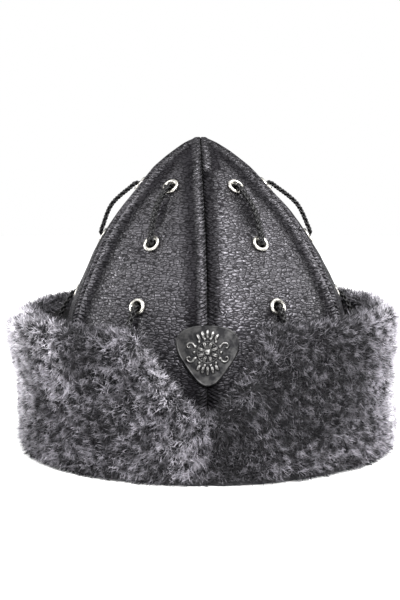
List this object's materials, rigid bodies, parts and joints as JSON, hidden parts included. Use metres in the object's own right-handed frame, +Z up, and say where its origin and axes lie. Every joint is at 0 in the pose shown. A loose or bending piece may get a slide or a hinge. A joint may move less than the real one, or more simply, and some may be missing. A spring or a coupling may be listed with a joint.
{
  "type": "pointed leather kalpak hat with a turned-up fur cuff",
  "caption": "Pointed leather cap of sewn gores with braided laces through metal eyelets, a notched turned-up plush fur cuff and a cast metal badge at the front.",
  "frame": {"origin": "on the surface the hat rests on, under the middle of the cuff", "axes": "+Z up towards the tip, -Y towards the front seam, the notch and the badge, +X towards the wearer's left"},
  "size_m": [0.2418, 0.2496, 0.19],
  "materials": {
    "crown_leather": "black pebble-grained leather with a soft shine",
    "lace_leather": "black flat-braided leather lace, semi-gloss",
    "lining": "black matt hide backing",
    "fur": "short curly plush fur, charcoal to light grey",
    "nickel": "bright nickel-plated, rolled",
    "pewter": "dark antiqued pewter with polished high spots"
  },
  "bodies": {
    "root": {"gore_front_right": "crown_leather", "gore_right": "crown_leather", "gore_back_right": "crown_leather", "gore_back_left": "crown_leather", "gore_left": "crown_leather", "gore_front_left": "crown_leather", "eyelet_front_right_1": "nickel", "eyelet_front_right_2": "nickel", "eyelet_front_right_3": "nickel", "eyelet_front_right_4": "nickel", "lace_front_right": "lace_leather", "eyelet_right_1": "nickel", "eyelet_right_2": "nickel", "eyelet_right_3": "nickel", "eyelet_right_4": "nickel", "lace_right": "lace_leather", "eyelet_back_right_1": "nickel", "eyelet_back_right_2": "nickel", "eyelet_back_right_3": "nickel", "eyelet_back_right_4": "nickel", "lace_back_right": "lace_leather", "eyelet_back_left_1": "nickel", "eyelet_back_left_2": "nickel", "eyelet_back_left_3": "nickel", "eyelet_back_left_4": "nickel", "lace_back_left": "lace_leather", "eyelet_left_1": "nickel", "eyelet_left_2": "nickel", "eyelet_left_3": "nickel", "eyelet_left_4": "nickel", "lace_left": "lace_leather", "eyelet_front_left_1": "nickel", "eyelet_front_left_2": "nickel", "eyelet_front_left_3": "nickel", "eyelet_front_left_4": "nickel", "lace_front_left": "lace_leather", "cuff_backing": "lining", "cuff_fur": "fur", "badge": "pewter"}
  },
  "joints": []
}
